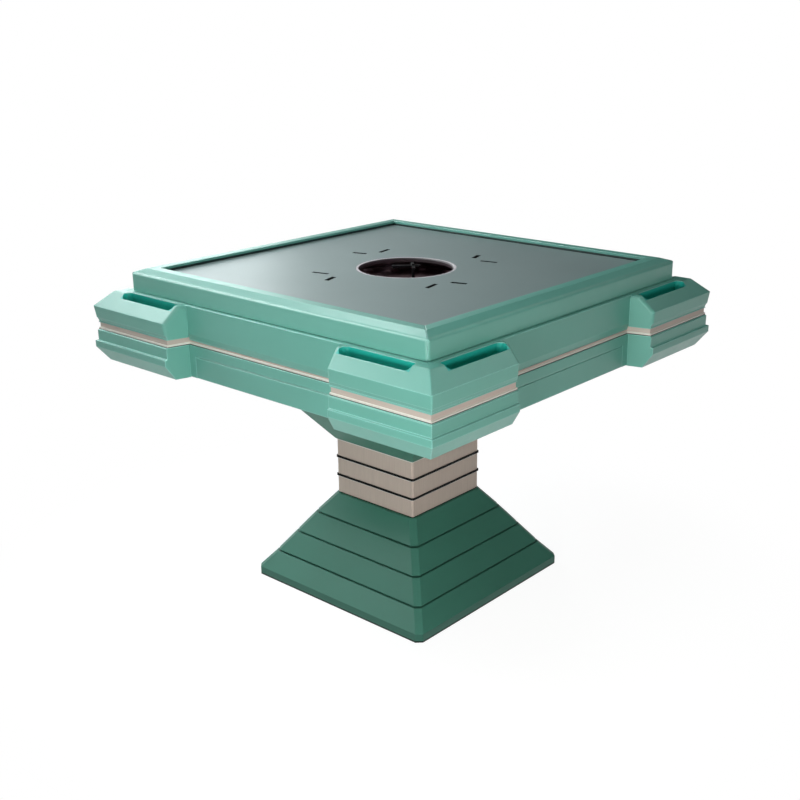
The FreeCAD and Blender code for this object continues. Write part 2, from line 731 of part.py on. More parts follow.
def chassis_plate():
    body = new_body("chassis_plate")
    outline = square("frame_inner - seat_gap")
    pad(body, body_sketch(body, "XY_Plane", [outline], at="chassis_height"), "chassis_thick")
    holes = [(place, "bolt_radius + seat_gap") for place in four_corners("head_bolts")]
    holes.append((("0", "0"), "spindle_radius - spindle_wall"))
    holes.append((("motor_place", "0"), "3 * shaft_radius"))
    pocket(body, body_sketch(body, "XY_Plane", circles=holes, at="chassis_top"), "chassis_thick")
    return body


def frame_posts():
    body = new_body("frame_posts")
    outlines = [square("post_half", x, y) for x, y in four_corners("post_place")]
    lower = body_sketch(body, "XY_Plane", outlines, at="tray_top")
    pad(body, lower, "chassis_height - (tray_top)")
    upper = body_sketch(body, "XY_Plane", outlines, at="chassis_top")
    pad(body, upper, "board_bottom - ring_height - (chassis_top)")
    return body


def frame_ring():
    body = new_body("frame_ring")
    rings = [square("post_place + post_half"), square("post_place - post_half")]
    pad(body, body_sketch(body, "XY_Plane", rings, at="board_bottom - ring_height"), "ring_height")
    return body


def mitre_ends(body, half, inner, top):
    """Cut both ends of a right side piece back to its mitres."""
    far = f"{half} + 1"
    near_end = f"{inner} - 1"
    wedge = [
        (near_end, f"{near_end} - mitre_gap"),
        (far, f"{far} - mitre_gap"),
        (far, f"{far} + 1"),
        (near_end, f"{far} + 1"),
    ]
    other = [(x, minus(y)) for x, y in wedge]
    pocket(body, body_sketch(body, "XY_Plane", [wedge, other], at=top), top)


def drawer_surround(name):
    """Lower side of the body, with the drawer's window and the strip's seat."""
    body = new_body(name)
    wall = [
        ("frame_inner", "side_bottom"),
        ("box_half", "side_bottom"),
        ("box_half", "trim_bottom"),
        ("trim_face - trim_thick", "trim_bottom"),
        ("trim_face - trim_thick", "leg_top"),
        ("frame_inner", "leg_top"),
    ]
    pad(body, body_sketch(body, "XZ_Plane", [wall]), "2 * box_half", middle=True)
    mitre_ends(body, "box_half", "frame_inner", "leg_top")
    window = rectangle(
        "-(drawer_half + drawer_gap)", "drawer_half + drawer_gap", "side_bottom - 1", "seam_height"
    )
    pocket(body, body_sketch(body, "YZ_Plane", [window], at="box_half"), "side_wall")
    return body


def strip_flank(at):
    """Where the pale strip crosses a corner block's end at this half width."""
    return f"(flank_root + trim_inset + (({at}) - box_half) * flank_slope)"


def apron(name):
    body = new_body(name)
    inner = "box_half - apron_thick"
    drop = "(box_half - trim_face - seat_gap) / (apron_bend - apron_lip)"
    meet = f"box_half - (apron_bend - leg_top) * {drop}"
    wall = [
        (inner, "leg_top"),
        (meet, "leg_top"),
        ("box_half", "apron_bend"),
        ("box_half", "apron_top - apron_bevel"),
        ("box_half - apron_bevel", "apron_top"),
        (inner, "apron_top"),
    ]
    pad(body, body_sketch(body, "XZ_Plane", [wall]), "2 * box_half", middle=True)
    mitre_ends(body, "box_half", inner, "apron_top")
    lip = [
        ("trim_face + seat_gap", "leg_top + 1"),
        ("trim_face + seat_gap", "apron_lip"),
        ("trim_face + 1.5 * seat_gap", "apron_lip"),
        (meet, "leg_top"),
        (meet, "leg_top + 1"),
    ]
    length = f"2 * ({strip_flank('trim_face')} - seat_gap)"
    pad(body, body_sketch(body, "XZ_Plane", [lip]), length, middle=True)
    return body


def trim_strip(name):
    """Pale strip from one corner's mitre round two block ends to the next."""
    body = new_body(name)
    block_inner = "trim_block_half - trim_thick"
    side_inner = "trim_face - trim_thick"
    back = [
        (side_inner, f"{strip_flank(side_inner)} + trim_thick"),
        (block_inner, f"{strip_flank(block_inner)} + trim_thick"),
        (block_inner, f"{block_inner} - mitre_gap"),
    ]
    inner = [(x, minus(y)) for x, y in reversed(back)] + back
    for proud, height in (("0", "trim_height"), ("trim_foot", "trim_foot_height")):
        block = f"trim_block_half + {proud}"
        side = f"trim_face + {proud}"
        front = [
            (block, f"{block} - mitre_gap"),
            (block, f"{strip_flank(block)} - {proud}"),
            (side, f"{strip_flank(side)} - {proud}"),
        ]
        outer = front + [(x, minus(y)) for x, y in reversed(front)]
        pad(body, body_sketch(body, "XY_Plane", [outer + inner], at="trim_bottom"), height)
    return body


keep(bottom_tray(), "bottom_tray")
keep(chassis_plate(), "chassis_plate")
keep(frame_posts(), "frame_posts")
keep(frame_ring(), "frame_ring")
each_side(drawer_surround, "drawer_surround")
each_side(apron, "apron")
each_side(trim_strip, "trim_strip")


# ---------------------------------------------------------------- corner blocks

def block_plan(inset):
    """The L-shaped plan of a corner block, drawn in by a wall if one is given."""
    inner = f"box_half + seat_gap + {inset}"
    root = f"flank_root + {inset}"
    tip = f"{root} + (reach - box_half) * flank_slope"
    return [
        (root, inner),
        (tip, "reach"),
        ("reach", "reach"),
        ("reach", tip),
        (inner, root),
        (inner, inner),
    ]


def block_form(name, outline, inset, bottom, top):
    """A corner block: its side outline pushed along X and along Y, on its plan."""
    along_y = prism(name + "_along_y", "XZ_Plane", outline, "4 * block_half", middle=True)
    along_x = prism(name + "_along_x", "YZ_Plane", outline, "4 * block_half", middle=True)
    plan = prism(name + "_plan", "XY_Plane", block_plan(inset), f"{top} - ({bottom})", at=bottom)
    return common(name, [along_y, along_x, plan])


def pocket_stadium(name, turned, margin, bottom, top):
    """Upright stadium that a pocket is cut with, or its cup with a margin."""
    middle = "(pocket_inner + pocket_outer) / 2"
    half = f"((pocket_outer - pocket_inner) / 2 + {margin})"
    start = "pocket_start + (pocket_outer - pocket_inner) / 2"
    end = "pocket_end - (pocket_outer - pocket_inner) / 2"
    across = (f"{middle} - {half}", f"{middle} + {half}")
    run = (start, end)
    sides = run + across if turned else across + run
    slab = prism(name + "_slab", "XY_Plane", rectangle(*sides), f"{top} - ({bottom})", at=bottom)
    rounds = []
    for index, along in enumerate(run):
        end_round = doc.addObject("Part::Cylinder", f"{name}_end_{index}")
        end_round.setExpression("Radius", bound(half))
        end_round.setExpression("Height", bound(f"{top} - ({bottom})"))
        x, y = (along, middle) if turned else (middle, along)
        end_round.setExpression("Placement.Base.x", bound(x))
        end_round.setExpression("Placement.Base.y", bound(y))
        end_round.setExpression("Placement.Base.z", bound(bottom))
        rounds.append(end_round)
    return fuse(name, [slab] + rounds)


def corner_cap(name):
    outside = [
        ("core", "leg_top"),
        ("cap_foot_half", "leg_top"),
        ("cap_edge_half", "cap_edge"),
        ("cap_bend", "apron_top"),
        ("core", "apron_top"),
    ]
    neck = [
        ("cap_foot_half - neck_back / 2", "leg_top"),
        ("cap_foot_half - neck_back", "leg_top + neck_lip"),
        ("cap_foot_half", "leg_top + neck_height"),
        ("reach", "leg_top + neck_height"),
        ("reach", "apron_top"),
    ]
    inside = [
        ("core", "leg_top - 1"),
        ("block_core", "leg_top - 1"),
        ("block_core", "cap_edge"),
        ("cap_bend - block_wall", "apron_top - block_wall"),
        ("core", "apron_top - block_wall"),
    ]
    form = block_form(name + "_form", outside, "0", "leg_top", "apron_top")

    def on_mitre(edge, middle):
        upright = abs(edge.BoundBox.ZLength) > 1
        return upright and abs(middle.x - middle.y) < 0.01 and middle.x > size("box_half + 5")

    def on_bend(edge, middle):
        top = near(edge.BoundBox.ZMax, "apron_top") and near(edge.BoundBox.ZMin, "apron_top")
        return top and (near(middle.x, "cap_bend") or near(middle.y, "cap_bend"))

    def on_end(edge, middle):
        """Edges where an end of the block meets its top, its slope or its face."""
        def at_end(along, aside):
            lean = (aside - size("box_half")) * size("flank_slope")
            return abs(along - size("flank_root") - lean) < 0.5

        points = [vertex.Point for vertex in edge.Vertexes]
        ends = all(at_end(p.y, p.x) for p in points) or all(at_end(p.x, p.y) for p in points)
        inner = min(middle.x, middle.y) > 0 and near(max(middle.x, middle.y), "box_half + seat_gap")
        low = near(edge.BoundBox.ZMax, "leg_top")
        return len(points) == 2 and ends and not inner and not low

    soft = rounded(name + "_bend", form, "cap_bend_radius", on_bend)
    soft = rounded(name + "_ends", soft, "cap_end_radius", on_end)
    soft = rounded(name + "_soft", soft, "cap_mitre_radius", on_mitre)
    soft = common(name + "_necked", [soft, square_form(name + "_neck", neck)])
    hollow = block_form(name + "_hollow", inside, "block_wall", "leg_top - 1", "apron_top")
    cups = []
    voids = []
    for turned in (False, True):
        tag = f"{name}_{int(turned)}"
        cups.append(
            pocket_stadium(tag + "_cup", turned, "block_wall", "pocket_floor - block_wall", "apron_top")
        )
        voids.append(pocket_stadium(tag + "_void", turned, "0", "pocket_floor", "apron_top + 1"))
    hollow = cut(name + "_room", hollow, fuse(name + "_cups", cups))
    shell = cut(name + "_shell", soft, hollow)
    return cut(name, shell, fuse(name + "_voids", voids))


def corner_base(name):
    outside = [
        ("core", "block_bottom"),
        ("block_foot_half", "block_bottom"),
        ("block_half", "ledge_bottom"),
        ("block_half", "ledge_top"),
        ("band_half", "band_bottom"),
        ("band_half", "trim_bottom - block_bevel"),
        ("band_half - block_bevel", "trim_bottom"),
        ("core", "trim_bottom"),
    ]
    floor = "block_bottom + block_wall"
    inside = [
        ("core", floor),
        ("block_foot_half - 2 * block_wall", floor),
        ("block_core", "ledge_bottom"),
        ("block_core", "trim_bottom + 1"),
        ("core", "trim_bottom + 1"),
    ]
    form = block_form(name + "_form", outside, "0", "block_bottom", "trim_bottom")
    hollow = block_form(name + "_hollow", inside, "block_wall", floor, "trim_bottom + 1")
    return cut(name, form, hollow)


each_corner(corner_base, "corner_base")
each_corner(corner_cap, "corner_cap")


# -------------------------------------------------------------------- table top

def rim_corners():
    """Upright block with rounded corners that the mitred rails are trimmed to."""
    block = doc.addObject("Part::Box", "rim_block")
    for key in ("Length", "Width"):
        block.setExpression(key, bound("2 * rim_half"))
    block.setExpression("Height", bound("rim_crest + 1"))
    for key in ("x", "y"):
        block.setExpression(f"Placement.Base.{key}", bound("-(rim_half)"))

    def upright(edge, middle):
        return edge.BoundBox.ZLength > size("rim_crest")

    return rounded("rim_block_soft", block, "rim_corner_radius", upright)


RIM_BLOCK = rim_corners()


def rim_rail(name):
    outline = [
        ("board_half + seat_gap", "rim_bottom"),
        ("rim_half", "rim_bottom"),
        ("rim_half", "rim_edge"),
        ("rim_inner + rim_crest_width", "rim_crest"),
        ("rim_inner", "rim_crest"),
        ("rim_inner", "board_top"),
        ("board_half + seat_gap", "board_top"),
    ]
    bar = prism(name + "_bar", "XZ_Plane", outline, "2 * rim_half", middle=True)

    def outer_top(edge, middle):
        return near(middle.x, "rim_half") and near(middle.z, "rim_edge")

    soft = rounded(name + "_soft", bar, "rim_edge_radius", outer_top)
    wedge = [
        ("rim_inner / 2", "-(rim_inner / 2 - mitre_gap)"),
        ("rim_half + 1", "-(rim_half + 1 - mitre_gap)"),
        ("rim_half + 1", "rim_half + 1 - mitre_gap"),
        ("rim_inner / 2", "rim_inner / 2 - mitre_gap"),
    ]
    ends = prism(name + "_ends", "XY_Plane", wedge, "rim_crest + 1")
    return common(name, [soft, ends, RIM_BLOCK])


SLOTS = [
    # centre x, centre y, direction in degrees, length, width
    ("-111", "-171.5", 12, "slot_long", "slot_width"),
    ("-51", "-199.5", 107, "slot_short", "slot_broad"),
]


def cut_slots(body, top, depth):
    """Cut two slots of the pattern and repeat them at the other three sides."""
    outlines = []
    for x, y, turn, length, width in SLOTS:
        along = (f"{length} / 2 * cos({turn} deg)", f"{length} / 2 * sin({turn} deg)")
        across = (f"-({width} / 2 * sin({turn} deg))", f"{width} / 2 * cos({turn} deg)")
        outlines.append([
            (f"{x} + {first} * {along[0]} + {second} * {across[0]}",
             f"{y} + {first} * {along[1]} + {second} * {across[1]}")
            for first, second in ((-1, -1), (1, -1), (1, 1), (-1, 1))
        ])
    slots = pocket(body, body_sketch(body, "XY_Plane", outlines, at=top), depth)
    around(body, [slots], 4)


def top_board():
    body = new_body("top_board")
    pad(body, body_sketch(body, "XY_Plane", [square("board_half")], at="board_bottom"), "board_thick")
    well = [(("0", "0"), "well_radius + collar_fit + collar_wall / 2")]
    pocket(body, body_sketch(body, "XY_Plane", circles=well, at="board_top"), "board_thick")
    cut_slots(body, "board_top", "board_thick")
    return body


def play_mat():
    body = new_body("play_mat")
    pad(body, body_sketch(body, "XY_Plane", [square("rim_inner - mat_gap")], at="board_top"), "mat_thick")
    well = [(("0", "0"), "well_radius + collar_lip + collar_fit")]
    pocket(body, body_sketch(body, "XY_Plane", circles=well, at="mat_top"), "mat_thick")
    cut_slots(body, "mat_top", "mat_thick")
    return body


def centre_collar():
    body = new_body("centre_collar")
    neck = "well_radius + collar_wall / 2"
    revolve(body, [
        ("well_radius", "mat_top"),
        ("throat_radius", "mat_top - collar_drop"),
        ("throat_radius", "mat_top - collar_depth"),
        (neck, "mat_top - collar_depth"),
        (neck, "board_top + seat_gap"),
        ("well_radius + collar_lip", "board_top + seat_gap"),
        ("well_radius + collar_lip", "mat_top"),
    ])
    return body


each_side(rim_rail, "rim_rail")
keep(top_board(), "top_board")
keep(play_mat(), "play_mat")
keep(centre_collar(), "centre_collar")


# --------------------------------------------------------------- shuffling drum

def drum_bowl():
    body = new_body("drum_bowl")
    floor_top = "drum_floor + drum_wall"
    rim = "board_bottom - drum_top_gap"
    revolve(body, [
        ("hub_radius + hub_gap", "drum_floor"),
        ("drum_radius", "drum_floor"),
        ("drum_radius", rim),
        ("drum_radius - drum_wall", rim),
        ("drum_radius - drum_wall", floor_top),
        ("hub_radius + hub_gap", floor_top),
    ])
    pillars = [(place, "drum_pillar") for place in four_corners("drum_radius * 0.6")]
    sketch = body_sketch(body, "XY_Plane", circles=pillars, at="chassis_top")
    pad(body, sketch, "drum_floor + drum_wall / 2 - (chassis_top)")
    return body


def drum_spindle():
    body = new_body("drum_spindle")
    bore = "spindle_radius - spindle_wall"
    revolve(body, [
        (bore, "chassis_top"),
        ("spindle_flange", "chassis_top"),
        ("spindle_flange", "chassis_top + spindle_flange_thick"),
        ("spindle_radius", "chassis_top + spindle_flange_thick"),
        ("spindle_radius", "spindle_top"),
        (bore, "spindle_top"),
    ])
    cap = [(("0", "0"), "spindle_radius - spindle_wall / 2")]
    cap_sketch = body_sketch(body, "XY_Plane", circles=cap, at="spindle_top - spindle_cap")
    pad(body, cap_sketch, "spindle_cap")
    guide = [(("lift_at", "lift_at"), "lift_radius + running_gap")]
    pocket(body, body_sketch(body, "XY_Plane", circles=guide, at="spindle_top"), "spindle_cap")
    return body


def turntable():
    body = new_body("turntable")
    disc_radius = "drum_radius - drum_wall - turntable_gap"
    disc_top = "turntable_height + turntable_thick"
    rib_top = f"{disc_top} + turntable_rib"
    revolve(body, [
        ("hub_bore", "pulley_base"),
        ("hub_radius", "pulley_base"),
        ("hub_radius", "turntable_height"),
        (disc_radius, "turntable_height"),
        (disc_radius, rib_top),
        (f"{disc_radius} - turntable_thick", rib_top),
        (f"{disc_radius} - turntable_thick - edge_slope", disc_top),
        ("mound_foot", disc_top),
        ("mound_crest", rib_top),
        ("hub_bore", rib_top),
    ])
    knob = [(("knob_place", "0"), "knob_radius")]
    knob_sketch = body_sketch(body, "XY_Plane", circles=knob, at="turntable_height")
    knob_pad = pad(body, knob_sketch, "turntable_thick + knob_height")
    around(body, [knob_pad], 18)
    return body


def pulley_outline(bore, radius):
    """Section of a flat belt pulley with a flange above and below the belt."""
    flange = f"{radius} + pulley_flange"
    low = "pulley_base + pulley_flange_thick"
    high = "pulley_top - pulley_flange_thick"
    return [
        (bore, "pulley_base"),
        (flange, "pulley_base"),
        (flange, low),
        (radius, low),
        (radius, high),
        (flange, high),
        (flange, "pulley_top"),
        (bore, "pulley_top"),
    ]


def turntable_pulley():
    body = new_body("turntable_pulley")
    revolve(body, pulley_outline("hub_radius + running_gap", "big_pulley"))
    return body


def motor_pulley():
    """The motor's pulley and shaft, turned in place on the motor's axis."""
    body = new_body("motor_pulley")
    centre = [(("motor_place", "0"), "small_pulley + pulley_flange")]
    groove = [(("motor_place", "0"), "small_pulley")]
    shaft = [(("motor_place", "0"), "shaft_radius")]
    low = "pulley_base + pulley_flange_thick"
    pad(body, body_sketch(body, "XY_Plane", circles=centre, at="pulley_base"), "pulley_flange_thick")
    belt_seat = body_sketch(body, "XY_Plane", circles=groove, at=low)
    pad(body, belt_seat, "pulley_height - 2 * pulley_flange_thick")
    upper = body_sketch(body, "XY_Plane", circles=centre, at="pulley_top - pulley_flange_thick")
    pad(body, upper, "pulley_flange_thick")
    shaft_bottom = "chassis_height - shaft_depth"
    shaft_sketch = body_sketch(body, "XY_Plane", circles=shaft, at=shaft_bottom)
    pad(body, shaft_sketch, f"pulley_base - ({shaft_bottom})")
    return body


def motor_body():
    body = new_body("motor_body")
    flange = [square("motor_flange", "motor_place")]
    can = [(("motor_place", "0"), "motor_radius")]
    flange_bottom = "chassis_height - motor_flange_thick"
    pad(body, body_sketch(body, "XY_Plane", flange, at=flange_bottom), "motor_flange_thick")
    can_sketch = body_sketch(body, "XY_Plane", circles=can, at=f"{flange_bottom} - motor_length")
    pad(body, can_sketch, "motor_length")
    bore = [(("motor_place", "0"), "shaft_radius + running_gap")]
    bore_sketch = body_sketch(body, "XY_Plane", circles=bore, at="chassis_height")
    pocket(body, bore_sketch, "shaft_depth + 1")
    return body


def belt_loop(big, small, distance, level):
    """Closed outline of a band round two circles on the X axis, at a height."""
    tilt = math.asin((big - small) / distance)
    big_point = Vector(big * math.sin(tilt), big * math.cos(tilt), level)
    small_point = Vector(distance + small * math.sin(tilt), small * math.cos(tilt), level)

    def mirrored(point):
        return Vector(point.x, -point.y, level)

    return Part.Wire([
        Part.Arc(big_point, Vector(-big, 0, level), mirrored(big_point)).toShape(),
        Part.LineSegment(mirrored(big_point), mirrored(small_point)).toShape(),
        Part.Arc(mirrored(small_point), Vector(distance + small, 0, level), small_point).toShape(),
        Part.LineSegment(small_point, big_point).toShape(),
    ])


def drive_belt():
    piece = doc.addObject("Part::Feature", "drive_belt")
    gap = size("belt_gap")
    thick = size("belt_thick")
    big = size("big_pulley") + gap
    small = size("small_pulley") + gap
    distance = size("motor_place")
    level = size("pulley_base + pulley_flange_thick") + gap
    height = size("pulley_height - 2 * pulley_flange_thick") - 2 * gap
    outer = Part.Face(belt_loop(big + thick, small + thick, distance, level))
    inner = Part.Face(belt_loop(big, small, distance, level))
    band = outer.cut(inner).extrude(Vector(0, 0, height))
    piece.Shape = band.Solids[0]
    return piece


def lift_post():
    """Post with the four-armed carrier that the console sits on."""
    body = new_body("lift_post")
    post = [(("lift_at", "lift_at"), "lift_radius")]
    pad(body, body_sketch(body, "XY_Plane", circles=post, at="lift_bottom"), "lift_top - lift_bottom")

    def arm(start, end, aside, along_first):
        """An arm on a diagonal, from start to end, with its middle line aside."""
        points = []
        for run, shift in ((start, -1), (end, -1), (end, 1), (start, 1)):
            offset = f"({aside} + {shift} * carrier_width / 2)"
            first, second = (run, offset) if along_first else (offset, run)
            points.append((f"(({first}) - ({second})) * sqrt(0.5)", f"(({first}) + ({second})) * sqrt(0.5)"))
        return points

    long_arm = arm("-(carrier_reach)", "carrier_reach", "0", True)
    cross_arm = arm("-(carrier_reach)", "carrier_reach", "lift_offset", False)
    for outline in (long_arm, cross_arm):
        pad(body, body_sketch(body, "XY_Plane", [outline], at="carrier_height"), "carrier_thick")
    return body


keep(drum_bowl(), "drum_bowl")
keep(drum_spindle(), "drum_spindle")
keep(turntable(), "turntable")
keep(turntable_pulley(), "turntable_pulley")
keep(motor_body(), "motor_body")
keep(motor_pulley(), "motor_pulley")
keep(drive_belt(), "drive_belt")
keep(lift_post(), "lift_post")


# ---------------------------------------------------------------------- drawers

def drawer_front(name):
    body = new_body(name)
    back = "box_half - front_thick"
    outline = [
        (back, "side_bottom + drawer_gap"),
        ("box_half", "side_bottom + drawer_gap"),
        ("box_half", "seam_height - drawer_gap - front_bevel"),
        ("box_half - front_bevel", "seam_height - drawer_gap"),
        (back, "seam_height - drawer_gap"),
    ]
    pad(body, body_sketch(body, "XZ_Plane", [outline]), "2 * drawer_half", middle=True)
    return body


def drawer_tray(name):
    body = new_body(name)
    front = "box_half - front_thick"
    plan = rectangle("drawer_back", front, "-(tray_half)", "tray_half")
    pad(body, body_sketch(body, "XY_Plane", [plan], at="drawer_floor"), "tray_height")
    ribs = rectangle(
        "drawer_back", "frame_inner - runner_gap", "-(tray_half + rib_width)", "tray_half + rib_width"
    )
    pad(body, body_sketch(body, "XY_Plane", [ribs], at="rib_bottom"), "rib_height")
    room = rectangle(
        "drawer_back + tray_wall", f"{front} - tray_wall", "-(tray_half - tray_wall)", "tray_half - tray_wall"
    )
    room_sketch = body_sketch(body, "XY_Plane", [room], at="drawer_floor + tray_height")
    pocket(body, room_sketch, "tray_height - tray_wall")
    return body


def drawer_runners():
    """Two runners for each drawer, as one group of eight bent sheet channels."""
    body = new_body("drawer_runners")
    lip = "tray_half + runner_gap"
    web = "runner_web"
    outside = "runner_web + runner_sheet"
    under = "rib_bottom - runner_gap"
    over = "rib_top + runner_gap"
    channel = [
        (outside, "tray_top"),
        (outside, f"{over} + runner_sheet"),
        (lip, f"{over} + runner_sheet"),
        (lip, over),
        (web, over),
        (web, under),
        (lip, under),
        (lip, f"{under} - runner_sheet"),
        (web, f"{under} - runner_sheet"),
        (web, "tray_top"),
    ]
    other = [(minus(y), z) for y, z in channel]
    sketch = body_sketch(body, "YZ_Plane", [channel, other], at="drawer_back + runner_gap")
    rails = pad(body, sketch, "frame_inner - seat_gap - (drawer_back + runner_gap)")
    around(body, [rails], 4)
    return body


each_side(drawer_front, "drawer_front")
each_side(drawer_tray, "drawer_tray")
keep(drawer_runners(), "drawer_runners")


# ------------------------------------------------------------------ mains inlet

ROCKER_X = "-(inlet_along) - rocker_place"
SOCKET_X = "-(inlet_along) + socket_place"


def inlet_rectangle(x, half_long, half_wide):
    return rectangle(
        f"{x} - ({half_long})", f"{x} + ({half_long})",
        f"{INLET_Y} - ({half_wide})", f"{INLET_Y} + ({half_wide})",
    )


def power_inlet():
    """Mains socket and the housing of its rocker switch, in one moulding."""
    body = new_body("power_inlet")
    bezel = inlet_rectangle(INLET_X, "inlet_half_long", "inlet_half_wide")
    bezel_bottom = "side_bottom - inlet_bezel"
    pad(body, body_sketch(body, "XY_Plane", [bezel], at=bezel_bottom), "inlet_bezel")
    room = inlet_rectangle(
        INLET_X, "inlet_half_long - inlet_margin - seat_gap", "inlet_half_wide - inlet_margin - seat_gap"
    )
    pad(body, body_sketch(body, "XY_Plane", [room], at="side_bottom"), "inlet_depth")
    socket = inlet_rectangle(SOCKET_X, "socket_half_long", "socket_half_wide")
    socket_sketch = body_sketch(body, "XY_Plane", [socket], at=bezel_bottom)
    pocket(body, socket_sketch, "socket_depth", reverse=True)
    rocker = inlet_rectangle(ROCKER_X, "rocker_half_long + rocker_gap", "rocker_half_wide + rocker_gap")
    rocker_sketch = body_sketch(body, "XY_Plane", [rocker], at=bezel_bottom)
    pocket(body, rocker_sketch, "rocker_depth + inlet_bezel + rocker_gap", reverse=True)
    pins = [((f"{SOCKET_X} + {step} * pin_spread", INLET_Y), "pin_radius") for step in (-1, 0, 1)]
    pin_sketch = body_sketch(body, "XY_Plane", circles=pins, at=f"{bezel_bottom} + socket_depth - pin_length")
    pad(body, pin_sketch, "pin_length + 1")
    return body


def power_switch():
    body = new_body("power_switch")
    key = [
        (f"{ROCKER_X} - rocker_half_long", "side_bottom - inlet_bezel"),
        (f"{ROCKER_X} - rocker_half_long", "side_bottom - inlet_bezel - rocker_proud"),
        (ROCKER_X, "side_bottom - inlet_bezel - rocker_proud / 2"),
        (f"{ROCKER_X} + rocker_half_long", "side_bottom - inlet_bezel"),
        (f"{ROCKER_X} + rocker_half_long / 2", "side_bottom + rocker_depth / 2"),
        (ROCKER_X, "side_bottom + rocker_depth"),
        (f"{ROCKER_X} - rocker_half_long / 2", "side_bottom + rocker_depth / 2"),
    ]
    sketch = body_sketch(body, "XZ_Plane", [key], at="-(inlet_place) - rocker_half_wide")
    pad(body, sketch, "2 * rocker_half_wide")
    return body


keep(power_inlet(), "power_inlet")
keep(power_switch(), "power_switch")


# ------------------------------------------------------------- check and export

doc.recompute()
for item in doc.Objects:
    if "Invalid" in item.State or "Error" in item.State:
        raise ValueError(f"{item.Label} failed to build: {item.State}")
for piece in parts:
    if piece.Shape.isNull() or not piece.Shape.isValid() or not piece.Shape.Solids:
        raise ValueError(f"{piece.Label} has no valid solid")

os.makedirs("parts", exist_ok=True)
for piece in parts:
    piece.Shape.exportStep(os.path.join("parts", piece.Label + ".step"))
    print(f"{piece.Label}: {len(piece.Shape.Solids)} solid(s), {piece.Shape.Volume / 1000:.1f} cm3")
print(f"{len(parts)} sub-parts")
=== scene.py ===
"""Looks of the mahjong table: materials, softened edges, light and camera.

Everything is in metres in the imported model's own frame, +Z up, with the origin
on the floor under the middle of the table.
"""

import json
import math

import bpy
from mathutils import Matrix, Vector


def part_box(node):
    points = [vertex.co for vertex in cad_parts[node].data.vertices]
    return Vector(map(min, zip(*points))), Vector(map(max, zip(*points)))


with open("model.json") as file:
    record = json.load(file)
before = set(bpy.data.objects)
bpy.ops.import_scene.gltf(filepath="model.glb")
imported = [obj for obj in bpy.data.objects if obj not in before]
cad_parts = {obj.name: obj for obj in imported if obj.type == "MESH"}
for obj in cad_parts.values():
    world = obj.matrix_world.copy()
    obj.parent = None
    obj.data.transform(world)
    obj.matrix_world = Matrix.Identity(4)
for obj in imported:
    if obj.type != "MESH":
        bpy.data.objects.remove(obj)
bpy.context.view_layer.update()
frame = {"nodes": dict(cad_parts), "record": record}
NODES = frame["nodes"]

# ------------------------------------------------------------------ named values

MAT_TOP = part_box("play_mat")[1][2]
RIM_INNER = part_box("rim_rail_right")[0][0]
FOOT_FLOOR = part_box("base_shell")[0][2]
TRIM_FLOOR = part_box("trim_strip_right")[0][2]
OPENINGS = {hole["name"]: hole["box_m"] for hole in frame["record"]["physics"]["openings"]}
POCKET = OPENINGS["pocket_right_a"]

# lines below or inside which another colour lies: place, and how far the colour fades
POCKET_LIP = (POCKET[1][2] - 0.0015, 0.0010)
WALL_FOOT_SIDE = (RIM_INNER + 0.0004, 0.0004)
WALL_FOOT_LINE = (MAT_TOP + 0.0042, 0.0010)
COLLAR_LINE = (MAT_TOP - 0.0010, 0.0006)
FOOT_BAND = (0.0220, 0.0005)
FOOT_BOTTOM = (FOOT_FLOOR + 0.0035, 0.0010)
TRIM_FOOT = (TRIM_FLOOR + 0.0055, 0.0008)
TRIM_SHADOW_LINE = (TRIM_FLOOR + 0.0014, 0.0006)

# the pockets' painted shade reaches this far past the stated opening, at its sides and its ends
POCKET_SLACK = 0.0011
POCKET_END = 0.0135

# how far a band of colour fades where nothing else is said
BLUR = 0.0004

# the grooves between the foot's tiers: height, and half width of the tier above.
# Their painted shade starts a little lower, and reaches out past the upper tier's foot.
GROOVES = ((0.0630, 0.2362), (0.1139, 0.2006), (0.1648, 0.1651))
GROOVE_HEIGHT = 0.004
GROOVE_SINK = 0.0002
GROOVE_BLUR = 0.0001
GROOVE_REACH = 0.0004
GROOVE_FADE = 0.0010

# painted highlight along a sleeve's upper edge: its height, how far it reaches past the top, its
# fade
SLEEVE_HIGHLIGHT = 0.0024
SLEEVE_HIGHLIGHT_PAST = 0.0010
SLEEVE_HIGHLIGHT_BLUR = 0.0003

# edges that shading rounds get a painted highlight and less roughness, from the first to the
# second cosine of the turn
EDGE_TURN = (0.995, 0.960)
EDGE_ROUGH = 0.16
EDGE_SAMPLES = 6

# camera: measured once against the straight edges of the real table
CAMERA_PLACE = Vector((1.7481, -1.9687, 1.3420))
CAMERA_TARGET = Vector((0.0, 0.0, 0.4511))
CAMERA_ROLL = math.radians(-0.490)
CAMERA_LENS = 51.46
CAMERA_SENSOR = 36.0
CAMERA_SHIFT_X = -0.0092
CAMERA_REACH = 100.0

FLOOR_SIZE = 60.0
FLOOR_COLOUR = (0.50, 0.50, 0.50)
FLOOR_GLOW = 0.92
SHADOW_COLOUR = (0.20, 0.20, 0.20)
SHADOW_REACH = (0.5, 1.1)

# world: even light, and the side on which reflections find a window.
# WINDOW_FADE holds the cosines from which it starts and is full, and both brightnesses.
AMBIENT = (0.02, 0.02, 0.02)
WINDOW_SIDE = (-0.94, 0.34, 0.0)
WINDOW_FADE = (0.77, 0.95, 0.02, 1.0)

